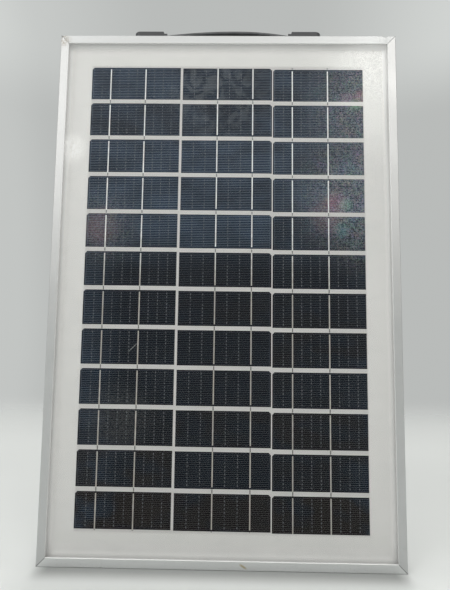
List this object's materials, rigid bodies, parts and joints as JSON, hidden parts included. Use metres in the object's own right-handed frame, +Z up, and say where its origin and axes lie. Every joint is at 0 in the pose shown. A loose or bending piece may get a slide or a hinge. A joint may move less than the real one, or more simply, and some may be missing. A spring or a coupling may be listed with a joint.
{
  "type": "solar panel",
  "caption": "Small framed glass solar panel with strings of cut cells, a rear junction box with a hinged lid and a strap handle on its top edge.",
  "frame": {"origin": "centre of the four mounting holes, on the plane of the frame's rear flange", "axes": "+Z up towards the carrying strap, +Y out of the back, -Y the way the glass faces, +X to the right seen from the glass side"},
  "size_m": [0.297, 0.025, 0.4594],
  "materials": {
    "anodised_aluminium": "natural satin anodised",
    "cast_aluminium": "as cast",
    "sealant": "white silicone",
    "textured_glass": "tempered, finely textured",
    "encapsulant": "clear laminated film",
    "white_encapsulant": "white laminated film",
    "silicon_cells": "blue-black antireflection coating with silver fingers",
    "tinned_ribbon": "tinned copper",
    "white_film": "white film",
    "backsheet_film": "white backsheet",
    "label_film": "blank silver label",
    "box_plastic": "moulded, fine grain",
    "gasket_rubber": "soft",
    "zinc_steel": "zinc plated",
    "terminal_brass": "plain",
    "diode_epoxy": "moulded epoxy",
    "strap_pvc": "satin soft PVC",
    "cap_plastic": "fine grain"
  },
  "bodies": {
    "root": {"backsheet": "backsheet_film", "bus_cover_strips": "white_film", "bus_ribbons": "tinned_ribbon", "bypass_diode": "diode_epoxy", "cells_left_string": "silicon_cells", "cells_middle_string": "silicon_cells", "cells_right_string": "silicon_cells", "corner_keys": "cast_aluminium", "diode_leads": "tinned_ribbon", "edge_seal": "sealant", "frame_bottom": "anodised_aluminium", "frame_left": "anodised_aluminium", "frame_right": "anodised_aluminium", "frame_top": "anodised_aluminium", "front_encapsulant": "encapsulant", "front_glass": "textured_glass", "gland_nut": "box_plastic", "gland_seal": "gasket_rubber", "handle_cap_left": "cap_plastic", "handle_cap_right": "cap_plastic", "handle_rivet_nuts": "zinc_steel", "handle_screws": "zinc_steel", "handle_strap_left": "strap_pvc", "handle_strap_right": "strap_pvc", "jbox_adhesive": "sealant", "jbox_base": "box_plastic", "jbox_hinge_pin": "zinc_steel", "lead_insulation": "white_film", "output_leads": "tinned_ribbon", "rating_label": "label_film", "rear_encapsulant": "white_encapsulant", "ribbons_left_string": "tinned_ribbon", "ribbons_middle_string": "tinned_ribbon", "ribbons_right_string": "tinned_ribbon", "terminal_plates": "terminal_brass", "terminal_screws": "zinc_steel"},
    "strap_grip": {"handle_strap_grip": "strap_pvc"},
    "box_lid": {"jbox_lid": "box_plastic", "jbox_gasket": "gasket_rubber", "jbox_lid_snaps": "box_plastic"}
  },
  "joints": [
    {"name": "handle_lift", "type": "slide", "parent": "root", "child": "strap_grip", "axis": [0, 0, 1], "range_m": [0, 0.018], "stiffness_N_per_m": 300, "deforming": ["handle_strap_left", "handle_strap_right"]},
    {"name": "jbox_lid_hinge", "type": "hinge", "parent": "root", "child": "box_lid", "pos_m": [0, -0.00275, 0.1914], "axis": [1, 0, 0], "range_deg": [0, 110], "deforming": ["jbox_lid_snaps"]}
  ]
}
